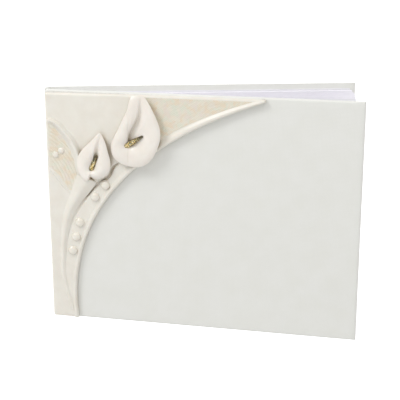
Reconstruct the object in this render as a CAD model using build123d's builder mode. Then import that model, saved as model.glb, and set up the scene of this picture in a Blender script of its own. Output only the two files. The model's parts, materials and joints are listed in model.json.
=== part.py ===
from build123d import *

import math
import os

# Wedding guest book: a landscape case-bound book standing on its tail edge, its
# front cover a little open, with a cast calla lily plaque on the front cover.
#
# Frame, in millimetres: +X runs from the spine to the fore-edge, +Y from the front
# to the back, +Z up. The origin is on the tail edge of the back cover, at the middle
# of its length and of its thickness.

# ---------------------------------------------------------------- driving dimensions
cover_width = 230.0          # spine fold to fore-edge
cover_height = 175.0         # tail to head
book_thickness = 14.0        # closed, outer face to outer face
opening = 16.25              # degrees the front cover stands open at rest

cloth = 0.4                  # covering cloth with its paste
front_padding = 1.2          # wadding under the front cloth
front_board = 1.8
back_board = 2.1
spine_board = 2.0
paper = 0.2                  # pastedown
turn_in = 15.0               # cloth folded over to the inside
pastedown_margin = 4.0       # cloth left showing round the pastedown
edge_round = 1.0             # rounding of the outer cover edges
joint_gap = 0.7              # from the hinge line to the start of a cover
clearance = 0.3              # between pieces that move past each other
spine_board_margin = 0.1     # the spine board stops this far short of the clearance

head_overhang = 5.0          # cover beyond the leaves at head and tail
fore_overhang = 3.0          # cover beyond the leaves at the fore-edge
lining = 0.4                 # mull and paper glued on the back of the leaves
lining_margin = 8.0
lining_gap = 0.2             # air between the spine and the lining
bound_strip = 3.0            # part of every leaf that is held in the glue
leaf_thickness = 0.3
leaf_spacing = 0.42
leaf_ratios = [0.50, 0.37, 0.25, 0.155, 0.075]   # leaf turn per turn of the cover
band_radius = 0.8

# Plaque, measured on the front cover: u from the spine fold, v up from the tail.
tape = 0.4                   # double-sided tape under the casting
base_thickness = 2.6
plaque_left = 1.0
plaque_margin = 0.6
plaque_tip = (162.4, 174.4)
plaque_foot = (21.0, plaque_margin)
arc_pull_low = (6.7, 82.5)       # control points of the concave edge
arc_pull_high = (74.2, 141.7)
rim_width = 3.0
rim_height = 1.6
panel_height = 0.5
panel_gap = 0.4
rib_height = 2.2
stem_height = 3.0
bead_radius = 3.3            # along the arc
small_bead_radius = 2.5      # in the left panel
bead_sink = 0.8              # how far a bead's centre lies under the surface
spathe_wall = 1.2            # floor of a flower
spathe_foot = 0.80           # sizes of a flower's sections, as parts of its lip
spathe_floor = 0.64
spathe_mouth = 0.92

# ---------------------------------------------------------------- worked-out places
front_thickness = 2 * cloth + front_padding + front_board + paper
back_thickness = 2 * cloth + back_board + paper
spine_x = -cover_width / 2
back_outer_y = back_thickness / 2
front_outer_y = back_outer_y - book_thickness

opening_rad = math.radians(opening)
front_plane = Plane(
    origin=(spine_x, front_outer_y, 0),
    x_dir=(math.cos(opening_rad), -math.sin(opening_rad), 0),
    z_dir=(-math.sin(opening_rad), -math.cos(opening_rad), 0),
)
back_plane = Plane(origin=(spine_x, back_outer_y, 0), x_dir=(1, 0, 0), z_dir=(0, -1, 0))

lining_x = spine_x + cloth + spine_board + cloth + lining_gap
block_left = lining_x + lining
block_right = spine_x + cover_width - fore_overhang
block_height = cover_height - 2 * head_overhang
stack_front_y = front_outer_y + front_thickness + clearance
stack_back_y = back_outer_y - back_thickness - clearance
core_front_y = stack_front_y + leaf_spacing * len(leaf_ratios)
leaf_hinge_x = block_left + bound_strip
low = (Align.MIN, Align.MIN)

os.makedirs("parts", exist_ok=True)


def write(part, label):
    """Label a finished part and write its STEP file."""
    part.label = label
    export_step(part, f"parts/{label}.step")


# ---------------------------------------------------------------- covers
def covered_cloth(plane, inward, depth):
    """Cloth of one cover: outer face, three wrapped edges and their turn-ins."""
    inner_width = cover_width - joint_gap
    with BuildPart() as wrap:
        with BuildSketch(plane):
            with Locations((joint_gap, 0)):
                Rectangle(inner_width, cover_height, align=low)
        extrude(amount=inward * depth)
        outer_face = wrap.faces().sort_by(Axis(plane.origin, plane.z_dir * inward))[0]
        free_edges = [
            edge
            for edge in outer_face.edges()
            if abs(plane.to_local_coords(edge.center()).X - joint_gap) > edge_round
        ]
        fillet(free_edges, radius=edge_round)
        with BuildSketch(plane.offset(inward * cloth)):
            with Locations((joint_gap, cloth)):
                Rectangle(inner_width - cloth, cover_height - 2 * cloth, align=low)
        extrude(amount=inward * (depth - 2 * cloth), mode=Mode.SUBTRACT)
        with BuildSketch(plane.offset(inward * (depth - cloth))):
            with Locations((joint_gap, turn_in)):
                Rectangle(inner_width - turn_in, cover_height - 2 * turn_in, align=low)
        extrude(amount=inward * cloth, mode=Mode.SUBTRACT)
    return wrap.part


def inner_sheet(plane, start, thickness):
    """Board or wadding that fills the cloth wrap from depth start inwards."""
    with BuildPart() as sheet:
        with BuildSketch(plane.offset(start)):
            with Locations((joint_gap, cloth)):
                Rectangle(
                    cover_width - joint_gap - cloth, cover_height - 2 * cloth, align=low
                )
        extrude(amount=thickness)
    return sheet.part


def pastedown(plane, inward, depth):
    """Endpaper glued inside a cover, with the card that levels the turn-ins."""
    with BuildPart() as sheet:
        with BuildSketch(plane.offset(inward * depth)):
            with Locations((joint_gap, pastedown_margin)):
                Rectangle(
                    cover_width - joint_gap - pastedown_margin,
                    cover_height - 2 * pastedown_margin,
                    align=low,
                )
        extrude(amount=inward * paper)
        with BuildSketch(plane.offset(inward * (depth - cloth))):
            with Locations((joint_gap, turn_in)):
                Rectangle(
                    cover_width - joint_gap - turn_in, cover_height - 2 * turn_in, align=low
                )
        extrude(amount=inward * cloth)
    return sheet.part


front_wrap_depth = front_thickness - paper
back_wrap_depth = back_thickness - paper

write(covered_cloth(front_plane, -1, front_wrap_depth), "front_cover_cloth")
write(inner_sheet(front_plane, -cloth, -front_padding), "front_cover_padding")
write(inner_sheet(front_plane, -cloth - front_padding, -front_board), "front_cover_board")
write(pastedown(front_plane, -1, front_wrap_depth), "front_pastedown")

write(covered_cloth(back_plane, 1, back_wrap_depth), "back_cover_cloth")
write(inner_sheet(back_plane, cloth, back_board), "back_cover_board")
write(pastedown(back_plane, 1, back_wrap_depth), "back_pastedown")

# ---------------------------------------------------------------- spine
spine_plane = Plane(origin=(spine_x, front_outer_y, 0), x_dir=(0, 1, 0), z_dir=(1, 0, 0))
spine_start = front_thickness + clearance + spine_board_margin
spine_end = book_thickness - back_thickness - clearance - spine_board_margin
spine_width = spine_end - spine_start

with BuildPart() as spine_cloth:
    with BuildSketch(spine_plane):
        Rectangle(book_thickness, cover_height, align=low)
    extrude(amount=cloth)
    with BuildSketch(spine_plane.offset(cloth)):
        for level in (0, cover_height - cloth):
            with Locations((spine_start, level)):
                Rectangle(spine_width, cloth, align=low)
    extrude(amount=spine_board)
    with BuildSketch(spine_plane.offset(cloth + spine_board)):
        for level in (0, cover_height - turn_in):
            with Locations((spine_start, level)):
                Rectangle(spine_width, turn_in, align=low)
    extrude(amount=cloth)
write(spine_cloth.part, "spine_cloth")

with BuildPart() as spine_strip:
    with BuildSketch(spine_plane.offset(cloth)):
        with Locations((spine_start, cloth)):
            Rectangle(spine_width, cover_height - 2 * cloth, align=low)
    extrude(amount=spine_board)
write(spine_strip.part, "spine_board")

# ---------------------------------------------------------------- text block
block_plane = Plane.XY.offset(head_overhang)
stack_depth = stack_back_y - stack_front_y

with BuildPart() as page_block:
    with BuildSketch(block_plane):
        with Locations((block_left, core_front_y)):
            Rectangle(block_right - block_left, stack_back_y - core_front_y, align=low)
        with Locations((block_left, stack_front_y)):
            Rectangle(bound_strip - clearance, stack_depth, align=low)
    extrude(amount=block_height)
write(page_block.part, "page_block")

with BuildPart() as spine_lining:
    with BuildSketch(block_plane.offset(lining_margin)):
        with Locations((lining_x, stack_front_y)):
            Rectangle(lining, stack_depth, align=low)
    extrude(amount=block_height - 2 * lining_margin)
write(spine_lining.part, "spine_lining")


def end_band(level, kept, label):
    """Rolled cotton band across one end of the glued back."""
    centre = (block_left + band_radius, stack_front_y, level)
    with BuildPart() as band_roll:
        with BuildSketch(Plane(origin=centre, z_dir=(0, 1, 0))):
            Circle(band_radius)
        extrude(amount=stack_depth)
        split(bisect_by=Plane.XY.offset(level), keep=kept)
    write(band_roll.part, label)


end_band(head_overhang + block_height, Keep.TOP, "head_band")
end_band(head_overhang, Keep.BOTTOM, "tail_band")


def leaf(number, ratio):
    """One leaf, turned about the hinge line that all the leaves share."""
    turn = math.radians(opening * ratio)
    along = (math.cos(turn), -math.sin(turn), 0)
    outward = (-math.sin(turn), -math.cos(turn), 0)
    hinge = Plane(
        origin=(leaf_hinge_x, stack_front_y, head_overhang), x_dir=along, z_dir=outward
    )
    behind = leaf_spacing * number
    with BuildPart() as sheet:
        with BuildSketch(hinge.offset(-behind)):
            with Locations((clearance, 0)):
                Rectangle(
                    block_right - leaf_hinge_x - clearance, block_height, align=low
                )
        extrude(amount=-leaf_thickness)
    return sheet.part


for number, ratio in enumerate(leaf_ratios):
    label = "front_flyleaf" if number == 0 else f"leaf_{number}"
    write(leaf(number, ratio), label)

# ---------------------------------------------------------------- plaque
base_top = tape + base_thickness
foot = plaque_foot
tip = plaque_tip
top_left = (plaque_left, plaque_tip[1])
bottom_left = (plaque_left, plaque_margin)


def relief(height):
    """Plane parallel to the front cover, a height above its cloth."""
    return front_plane.offset(height)


def concave_edge(inset):
    """Curve of the plaque's free edge, moved in from it by an inset."""
    return Bezier(
        (foot[0] - inset, foot[1]),
        (arc_pull_low[0] - inset, arc_pull_low[1]),
        (arc_pull_high[0] - inset * 0.8, arc_pull_high[1] + inset * 0.6),
        (tip[0] - inset * 2.6, tip[1]),
    )


def plaque_blank(height, thickness, inset):
    """Solid with the outline of the plaque, brought in all round by an inset."""
    corner_low = (bottom_left[0] + inset, bottom_left[1])
    corner_high = (top_left[0] + inset, top_left[1])
    with BuildPart() as blank:
        with BuildSketch(relief(height)):
            with BuildLine():
                edge = concave_edge(inset)
                Line(edge @ 1, corner_high)
                Line(corner_high, corner_low)
                Line(corner_low, edge @ 0)
            make_face()
        extrude(amount=thickness)
    return blank.part


write(plaque_blank(0, tape, 1.5), "plaque_tape")
write(plaque_blank(tape, base_thickness, 0), "plaque_base")


def band(points, widths, height, label):
    """Raised band that follows a spline and changes width along it."""
    path = Spline(*points)
    sides = ([], [])
    for index, width in enumerate(widths):
        step = index / (len(widths) - 1)
        side = (path % step).rotate(Axis.Z, 90) * (width / 2)
        for row, place in zip(sides, (path @ step + side, path @ step - side)):
            row.append((place.X, place.Y))
    with BuildPart() as strip:
        with BuildSketch(relief(base_top)):
            with BuildLine():
                left = Spline(*sides[0])
                right = Spline(*sides[1])
                Line(left @ 0, right @ 0)
                Line(left @ 1, right @ 1)
            make_face()
        extrude(amount=height)
    write(strip.part, label)


# The upper rib runs from the spine side to the small flower, the lower one below it.
band(
    [(2.6, 153.5), (13, 150), (21, 141), (25.5, 128)],
    [3.2, 3.6, 3.8, 3.0],
    rib_height,
    "upper_rib",
)
band([(2.6, 118), (9, 110), (14, 101), (15.5, 94)], [2.2, 2.4, 2.2, 1.8], rib_height, "lower_rib")
band(
    [(31, 108), (21.5, 90), (13.5, 65), (10.2, 42), (11, 22), (13.8, 4)],
    [10, 8.2, 5.6, 4.2, 3.4, 2.0],
    stem_height,
    "small_calla_stem",
)


def scaled(outline, centre, size):
    """Outline drawn in or out about a centre."""
    return [
        (centre[0] + (u - centre[0]) * size, centre[1] + (v - centre[1]) * size)
        for u, v in outline
    ]


def spathe(outline, centre, height, label):
    """Calla bract: a pointed bowl that flares from a small foot to its lip."""

    def section(level, size):
        with BuildSketch(relief(base_top + level)) as ring:
            with BuildLine():
                points = scaled(outline, centre, size)
                Spline(*points, points[0])
            make_face()
        return ring.sketch

    outside = [section(0, spathe_foot), section(height, 1)]
    inside = [section(spathe_wall, spathe_floor), section(height, spathe_mouth)]
    with BuildPart() as blank:
        loft(outside)
    with BuildPart() as bowl:
        add(blank.part)
        loft(inside, mode=Mode.SUBTRACT)
    write(bowl.part, label)
    return blank.part


def spadix(start, end, root_radius, tip_radius, label):
    """Tapered rod lying on the floor of a flower."""
    floor = relief(base_top + spathe_wall)
    from_point = floor.from_local_coords((*start, root_radius / 2))
    to_point = floor.from_local_coords((*end, root_radius))
    axis = to_point - from_point
    with BuildPart() as rod:
        with BuildSketch(Plane(origin=from_point, z_dir=axis)):
            Circle(root_radius)
        with BuildSketch(Plane(origin=to_point, z_dir=axis)):
            Circle(tip_radius)
        loft()
        split(bisect_by=floor, keep=Keep.TOP)
    write(rod.part, label)


large_outline = [
    (71.0, 174.2), (82, 164), (88.3, 149), (84.5, 133), (73, 124), (59, 127), (51, 138),
    (57.5, 148), (66, 163),
]
small_outline = [
    (43, 146), (49, 133), (50.8, 122), (45, 113), (36.5, 110.8), (29, 114), (26.6, 124),
    (33, 136),
]
large_flower = spathe(large_outline, (71, 145), 7.0, "large_calla_spathe")
spathe(small_outline, (39, 124), 6.0, "small_calla_spathe")
spadix((62.5, 138), (75.0, 146), 1.9, 0.6, "large_calla_spadix")
spadix((35.5, 119.5), (40.5, 130.0), 1.6, 0.5, "small_calla_spadix")


def pearls(places, radius, label):
    """Half-round beads set in the surface of the plaque."""
    with BuildPart(relief(base_top - bead_sink)) as beads:
        with Locations(*places):
            Sphere(radius)
        split(bisect_by=relief(base_top), keep=Keep.TOP)
    write(beads.part, label)
    return beads.part


pearls(
    [(45.5, 107.5), (37.3, 98.0), (24.1, 77.5), (20.3, 66.0), (16.9, 54.0)],
    bead_radius,
    "arc_pearls",
)
left_pearls = pearls([(7.3, 128.3), (12.5, 130.6)], small_bead_radius, "left_pearls")

with BuildPart() as rim:
    with BuildSketch(relief(base_top)):
        with BuildLine():
            outer = concave_edge(0.3)
            inner = concave_edge(rim_width)
            Line(outer @ 1, inner @ 1)
            Line(outer @ 0, inner @ 0)
        make_face()
    extrude(amount=rim_height)
    add(large_flower, mode=Mode.SUBTRACT)
write(rim.part, "arc_rim")


def panel(corners, set_in, label):
    """Thin carved mother-of-pearl panel, clear of the rim and of what is set in it."""
    with BuildPart() as sheet:
        with BuildSketch(relief(base_top)):
            with BuildLine():
                edge = concave_edge(rim_width + panel_gap)
                Line(edge @ 1, (top_left[0], tip[1]))
                Line((top_left[0], tip[1]), bottom_left)
                Line(bottom_left, edge @ 0)
            make_face()
            Polygon(*corners, align=None, mode=Mode.INTERSECT)
        extrude(amount=panel_height)
        for piece in set_in:
            add(piece, mode=Mode.SUBTRACT)
    write(sheet.part, label)


panel(
    [(78, 172.8), (152, 172.8), (152, 140), (90, 140), (91, 150), (86, 164)],
    [large_flower],
    "upper_pearl_panel",
)
panel(
    [(2.8, 150), (10, 147), (17, 139.5), (20.5, 128), (18.5, 112), (2.8, 121)],
    [left_pearls],
    "left_pearl_panel",
)
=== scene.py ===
import json
import logging
import math
from collections.abc import Callable, Iterator, Sequence
from contextlib import contextmanager
from dataclasses import dataclass, field
from enum import Enum

import bpy
import numpy as np
from bpy.types import Material, Node, NodeSocket, NodeTree, Object
from mathutils import Matrix, Vector, noise


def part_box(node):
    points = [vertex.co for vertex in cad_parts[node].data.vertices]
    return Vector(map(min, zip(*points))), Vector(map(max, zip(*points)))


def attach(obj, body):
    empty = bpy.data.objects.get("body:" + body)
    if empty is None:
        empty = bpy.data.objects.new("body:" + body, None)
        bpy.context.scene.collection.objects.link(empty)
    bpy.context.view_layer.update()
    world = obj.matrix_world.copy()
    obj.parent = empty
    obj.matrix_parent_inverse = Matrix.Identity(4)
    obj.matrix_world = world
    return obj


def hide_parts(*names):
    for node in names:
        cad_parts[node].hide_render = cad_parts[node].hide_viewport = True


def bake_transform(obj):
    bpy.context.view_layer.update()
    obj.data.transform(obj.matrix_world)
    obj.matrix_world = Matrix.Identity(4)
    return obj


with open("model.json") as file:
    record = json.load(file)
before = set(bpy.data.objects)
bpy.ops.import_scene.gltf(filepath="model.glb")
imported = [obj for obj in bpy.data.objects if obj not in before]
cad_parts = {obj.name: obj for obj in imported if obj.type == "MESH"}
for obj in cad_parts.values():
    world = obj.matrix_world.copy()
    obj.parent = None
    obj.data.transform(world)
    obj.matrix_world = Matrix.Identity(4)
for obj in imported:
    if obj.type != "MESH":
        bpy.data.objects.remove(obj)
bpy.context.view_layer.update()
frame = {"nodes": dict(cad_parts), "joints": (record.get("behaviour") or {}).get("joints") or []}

log = logging.getLogger("guest_book")

# A landscape guest book with a padded cloth cover, standing a little open, and a cast
# calla lily plaque on its front cover. Pieces are modelled flat, in millimetres, and
# then laid on the plane of the sheet that they belong to.
MM = 0.001
JOINTS = {joint["name"]: joint for joint in frame["joints"]}
OPENING = math.radians(-JOINTS["front_cover_hinge"]["range_deg"][0])
WELD_GAP = 0.004

Point = tuple[float, float]
Place = tuple[float, float, float]
Drawing = Callable[[float, float], Place]


class Body(str, Enum):
    """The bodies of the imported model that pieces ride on."""

    BLOCK = "spine_and_block"
    FRONT = "front_cover"
    BACK = "back_cover"


class Slot(str, Enum):
    """The record's material slots."""

    CLOTH = "cover_cloth"
    GREYBOARD = "greyboard"
    ENDPAPER = "endpaper"
    LEAF = "leaf_paper"
    MULL = "mull"
    BAND = "band_cotton"
    TAPE = "tape"
    RESIN = "resin"
    PEARL = "pearl_resin"
    FLOWER = "flower_resin"
    BEAD = "bead"
    GLITTER = "gold_glitter"


# ------------------------------------------------------------------ planes and lines
@dataclass(frozen=True)
class Sheet:
    """The plane of a hinged sheet: along from the spine, up its height, out of it."""

    origin: Vector
    along: Vector
    up: Vector

    def matrix(self) -> Matrix:
        """Return the matrix from the sheet's own millimetres to the frame's metres."""
        out = self.along.cross(self.up)
        turned = Matrix((self.along, self.up, out)).transposed() * MM
        return Matrix.Translation(self.origin) @ turned.to_4x4()

    def point(self, u: float, v: float = 0.0, w: float = 0.0) -> Vector:
        """Return the place in the frame, in metres, of a point of the sheet."""
        return self.matrix() @ Vector((u, v, w))


def hinge(name: str, level: float = 0.0) -> Vector:
    """Return the point of a joint's axis at a level above the tail edge."""
    x, y, _ = JOINTS[name]["pos_m"]
    return Vector((x, y, level))


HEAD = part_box("back_cover_cloth")[1].z
UP = Vector((0.0, 0.0, 1.0))
FRONT_ALONG = Vector((math.cos(OPENING), -math.sin(OPENING), 0.0))
FRONT_SHEET = Sheet(hinge("front_cover_hinge"), FRONT_ALONG, UP)
BACK_SHEET = Sheet(hinge("back_cover_hinge", HEAD), Vector((1.0, 0.0, 0.0)), -UP)
FRAME_SHEET = Sheet(Vector((0.0, 0.0, 0.0)), Vector((1.0, 0.0, 0.0)), Vector((0.0, 1.0, 0.0)))


def smooth(share: float) -> float:
    """Return the smooth step of a share that is held between 0 and 1."""
    held = min(1.0, max(0.0, share))
    return held * held * (3.0 - 2.0 * held)


def between(keys: Sequence[Point], place: float) -> float:
    """Return the value at a place of a line that is given by (place, value) keys."""
    return float(np.interp(place, [key[0] for key in keys], [key[1] for key in keys]))


def drawn_through(points: Sequence[Point], count: int, closed: bool = False) -> np.ndarray:
    """Draw a smooth line through points.

    Args:
        points: the points that the line passes, in order.
        count: how many places of the line to give.
        closed: whether the line comes back to its first point.

    Returns:
        The places, one row each.
    """
    through = np.array(points, float)
    if closed:
        padded = np.vstack([through[-1:], through, through[:2]])
    else:
        padded = np.vstack(
            [2 * through[0] - through[1], through, 2 * through[-1] - through[-2]]
        )
    spans = len(padded) - 3
    places = []
    for step in np.linspace(0, spans, count, endpoint=not closed):
        span = min(int(step), spans - 1)
        t = step - span
        a, b, c, d = padded[span : span + 4]
        places.append(
            0.5
            * (
                2 * b
                + (c - a) * t
                + (2 * a - 5 * b + 4 * c - d) * t**2
                + (3 * b - a - 3 * c + d) * t**3
            )
        )
    return np.array(places)


@dataclass(frozen=True)
class Arc:
    """The plaque's concave free edge, as a cubic curve on the front cover."""

    foot: Point = (20.9, 0.6)
    low_pull: Point = (12.4, 81.6)
    high_pull: Point = (67.9, 140.6)
    tip: Point = (161.8, 172.2)

    def at(self, share: float) -> np.ndarray:
        """Return the point at a share of the curve's parameter."""
        a, b, c, d = (np.array(p) for p in (self.foot, self.low_pull, self.high_pull, self.tip))
        rest = 1 - share
        return rest**3 * a + 3 * rest**2 * share * b + 3 * rest * share**2 * c + share**3 * d

    def inward(self, share: float) -> np.ndarray:
        """Return the unit direction from the edge into the plaque."""
        step = self.at(min(1.0, share + 0.002)) - self.at(max(0.0, share - 0.002))
        step /= np.linalg.norm(step)
        return np.array((-step[1], step[0]))

    def inset(self, share: float, depth: float) -> np.ndarray:
        """Return the point that lies a depth inside the edge."""
        return self.at(share) + self.inward(share) * depth

    def depth_line(self, depth: float | Callable[[float], float]) -> np.ndarray:
        """Return the line that lies a depth inside the edge, as many points."""
        shares = np.linspace(0, 1, 200)
        return np.array(
            [self.inset(s, depth(s) if callable(depth) else depth) for s in shares]
        )


# ------------------------------------------------------------------ the work bench
def deselect() -> None:
    """Leave nothing selected."""
    bpy.ops.object.select_all(action="DESELECT")


def pick(*pieces: Object) -> None:
    """Select these pieces only, with the first one active."""
    deselect()
    for piece in pieces:
        piece.select_set(True)
    bpy.context.view_layer.objects.active = pieces[0]


@contextmanager
def editing(piece: Object) -> Iterator[None]:
    """Work on a piece in edit mode, where nothing is selected at first."""
    pick(piece)
    bpy.ops.object.mode_set(mode="EDIT")
    bpy.ops.mesh.select_mode(type="VERT")
    bpy.ops.mesh.select_all(action="DESELECT")
    yield
    bpy.ops.object.mode_set(mode="OBJECT")


def surface(name: str, columns: int, rows: int, drawing: Drawing) -> Object:
    """Add a flat grid and draw each of its points to its place.

    Args:
        name: the piece's name.
        columns: how many faces the grid has along its first side.
        rows: how many faces it has along its second side.
        drawing: gives a point's place from its shares of the two sides.

    Returns:
        The open sheet, in millimetres.
    """
    deselect()
    bpy.ops.mesh.primitive_grid_add(x_subdivisions=columns, y_subdivisions=rows, size=1)
    piece = bpy.context.object
    piece.name = piece.data.name = name
    for vertex in piece.data.vertices:
        vertex.co = drawing(vertex.co.x + 0.5, vertex.co.y + 0.5)
    return piece


def weld(piece: Object, gap: float = WELD_GAP) -> None:
    """Merge points that lie together and turn the faces outwards."""
    with editing(piece):
        bpy.ops.mesh.select_all(action="SELECT")
        bpy.ops.mesh.remove_doubles(threshold=gap)
        bpy.ops.mesh.normals_make_consistent(inside=False)


def select_rim() -> None:
    """Select the open edges of the mesh that is in edit mode."""
    bpy.ops.mesh.select_mode(type="EDGE")
    bpy.ops.mesh.select_all(action="DESELECT")
    bpy.ops.mesh.select_non_manifold(
        use_wire=False, use_multi_face=False, use_non_contiguous=False, use_verts=False
    )


def close_under(piece: Object, level: float) -> None:
    """Give a sheet a wall down to a level and a flat back there."""
    with editing(piece):
        bpy.ops.mesh.select_all(action="SELECT")
        bpy.ops.mesh.extrude_region_move(TRANSFORM_OT_translate={"value": (0, 0, -0.01)})
        bpy.ops.transform.resize(value=(1, 1, 0), center_override=(0, 0, level))
        bpy.ops.mesh.select_all(action="SELECT")
        bpy.ops.mesh.normals_make_consistent(inside=False)


def cap(piece: Object) -> None:
    """Close each open end of a tube with a face."""
    with editing(piece):
        select_rim()
        bpy.ops.mesh.edge_face_add()
        bpy.ops.mesh.select_all(action="SELECT")
        bpy.ops.mesh.normals_make_consistent(inside=False)


def modify(piece: Object, kind: str, **settings: float | str | bool) -> None:
    """Finish a piece with a modifier and apply it."""
    pick(piece)
    modifier = piece.modifiers.new(kind.title(), kind)
    for key, value in settings.items():
        setattr(modifier, key, value)
    bpy.ops.object.modifier_apply(modifier=modifier.name)


def copied(piece: Object, shift: Place) -> Object:
    """Return a copy of a piece, with its own mesh, moved by a shift."""
    twin = piece.copy()
    twin.data = piece.data.copy()
    bpy.context.scene.collection.objects.link(twin)
    twin.data.transform(Matrix.Translation(shift))
    return twin


def joined(name: str, pieces: Sequence[Object]) -> Object:
    """Join pieces into one of that name."""
    pick(*pieces)
    bpy.ops.object.join()
    whole = bpy.context.object
    whole.name = whole.data.name = name
    return whole


def settle(piece: Object, sheet: Sheet, sharp: float = 40.0) -> Object:
    """Lay a piece that was modelled flat on its sheet, and shade it.

    Args:
        piece: the piece, in the sheet's millimetres.
        sheet: the sheet that it lies on.
        sharp: the angle in degrees past which an edge is shaded as sharp.

    Returns:
        The same piece, in the frame's metres.
    """
    piece.data.transform(sheet.matrix())
    pick(piece)
    bpy.ops.object.shade_smooth_by_angle(angle=math.radians(sharp))
    return piece


# ------------------------------------------------------------------ finishes
def linear(colour: str) -> tuple[float, float, float, float]:
    """Return a six-digit sRGB hex colour as linear light."""
    parts = [int(colour[place : place + 2], 16) / 255 for place in (0, 2, 4)]
    light = [p / 12.92 if p <= 0.04045 else ((p + 0.055) / 1.055) ** 2.4 for p in parts]
    return (*light, 1.0)


def add_node(
    tree: NodeTree,
    kind: str,
    settings: dict[str, object] | None = None,
    sockets: dict[str | int, object] | None = None,
) -> Node:
    """Add a node with its settings and links.

    Args:
        tree: the material's node tree.
        kind: the node's type.
        settings: values of the node's own options.
        sockets: values or linked outputs for its inputs, by name or place.

    Returns:
        The new node.
    """
    made = tree.nodes.new(kind)
    for key, value in (settings or {}).items():
        setattr(made, key, value)
    for key, value in (sockets or {}).items():
        if isinstance(value, NodeSocket):
            tree.links.new(value, made.inputs[key])
        else:
            made.inputs[key].default_value = value
    return made


def per_metre(size_mm: float) -> float:
    """Return the noise scale whose features are about a size in millimetres."""
    return 1.0 / (size_mm * MM)


def wave_scale(period_mm: float) -> float:
    """Return the band scale of a Wave texture that repeats each so many millimetres."""
    return math.pi / 10.0 / (period_mm * MM)


def noise_of(tree: NodeTree, where: NodeSocket, size_mm: float, **more: float) -> NodeSocket:
    """Return a noise whose features are about a size in millimetres."""
    sockets = {"Vector": where, "Scale": per_metre(size_mm), **more}
    return add_node(tree, "ShaderNodeTexNoise", sockets=sockets).outputs[0]


def ranged(
    tree: NodeTree, value: NodeSocket, low: float, high: float, start: float = 0.0, end: float = 1.0
) -> NodeSocket:
    """Return a value stretched from one range to another and held there."""
    names = ("Value", "From Min", "From Max", "To Min", "To Max")
    sockets = dict(zip(names, (value, low, high, start, end)))
    return add_node(tree, "ShaderNodeMapRange", sockets=sockets).outputs[0]


def mixed(
    tree: NodeTree, share: object, first: object, second: object, blend: str = "MIX"
) -> NodeSocket:
    """Return two colours mixed by a share."""
    settings = {"data_type": "RGBA", "blend_type": blend}
    return add_node(tree, "ShaderNodeMix", settings, {0: share, 6: first, 7: second}).outputs[2]


def bumped(tree: NodeTree, height: NodeSocket, strength: float, distance: float) -> NodeSocket:
    """Return the normal of a surface that is raised by a height."""
    sockets = {"Height": height, "Strength": strength, "Distance": distance}
    return add_node(tree, "ShaderNodeBump", sockets=sockets).outputs[0]


def combined(tree: NodeTree, operation: str, first: NodeSocket, second: object) -> NodeSocket:
    """Return two values put together by a maths operation."""
    return add_node(
        tree, "ShaderNodeMath", {"operation": operation}, {0: first, 1: second}
    ).outputs[0]


@dataclass(frozen=True)
class Finish:
    """What every finish has: its material's name and the record's slot."""

    name: str
    slot: Slot

    def material(self) -> Material:
        """Return the finish's material, made the first time that it is asked for."""
        made = bpy.data.materials.get(self.name)
        if made is None:
            made = bpy.data.materials.new(self.name)
            made.use_nodes = True
            tree = made.node_tree
            tree.nodes.clear()
            where = add_node(tree, "ShaderNodeTexCoord").outputs["Object"]
            shader = self.shader(tree, where)
            add_node(
                tree, "ShaderNodeOutputMaterial", sockets={"Surface": shader.outputs[0]}
            )
        return made

    def shader(self, tree: NodeTree, where: NodeSocket) -> Node:
        """Return the finish's shader node, built from the object coordinates."""
        raise NotImplementedError

    def mottle(
        self, tree: NodeTree, where: NodeSocket, size_mm: float, colours: tuple[str, str]
    ) -> NodeSocket:
        """Return a colour that drifts between two hex colours over a size."""
        share = ranged(tree, noise_of(tree, where, size_mm, Detail=3.0), 0.35, 0.65)
        return mixed(tree, share, linear(colours[0]), linear(colours[1]))


@dataclass(frozen=True)
class BookCloth(Finish):
    """Starched cotton book cloth, woven and rolled flat: matt, with a faint crossed grain.

    Its threads are about 0.35 mm apart, too fine to show, so they are drawn at 0.9 mm.
    """

    turn: float = 0.0
    threads_mm: float = 0.9
    colours: tuple[str, str] = ("ECECE7", "EAEAE4")

    def shader(self, tree: NodeTree, where: NodeSocket) -> Node:
        """Return cloth whose warp and weft run with the cover that it is turned to."""
        turned = add_node(
            tree,
            "ShaderNodeMapping",
            sockets={"Vector": where, "Rotation": (0.0, 0.0, self.turn)},
        ).outputs[0]
        threads = [
            add_node(
                tree,
                "ShaderNodeTexWave",
                {"bands_direction": direction},
                {
                    "Vector": turned,
                    "Scale": wave_scale(self.threads_mm),
                    "Distortion": 2.2,
                    "Detail": 2.0,
                    "Detail Scale": 0.6,
                },
            ).outputs["Fac"]
            for direction in ("X", "Z")
        ]
        weave = combined(tree, "MULTIPLY", threads[0], threads[1])
        normal = bumped(tree, weave, 0.22, 0.00012)
        base = self.mottle(tree, turned, 14.0, self.colours)
        return add_node(
            tree,
            "ShaderNodeBsdfPrincipled",
            sockets={
                "Base Color": mixed(tree, 0.05, base, weave, "MULTIPLY"),
                "Roughness": 0.82,
                "IOR": 1.47,
                "Sheen Weight": 0.12,
                "Sheen Roughness": 0.5,
                "Normal": normal,
            },
        )


@dataclass(frozen=True)
class Paper(Finish):
    """Wood-free uncoated paper: matt, with a cloudy look where its fibres lie thicker."""

    colours: tuple[str, str] = ("FCFAFF", "F8F6FC")
    roughness: float = 0.9

    def shader(self, tree: NodeTree, where: NodeSocket) -> Node:
        """Return paper with a tooth of about 0.6 mm and clouds of 5 mm."""
        tooth = noise_of(tree, where, 0.6, Detail=2.0)
        return add_node(
            tree,
            "ShaderNodeBsdfPrincipled",
            sockets={
                "Base Color": self.mottle(tree, where, 5.0, self.colours),
                "Roughness": self.roughness,
                "IOR": 1.5,
                "Normal": bumped(tree, tooth, 0.12, 0.00005),
            },
        )


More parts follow.
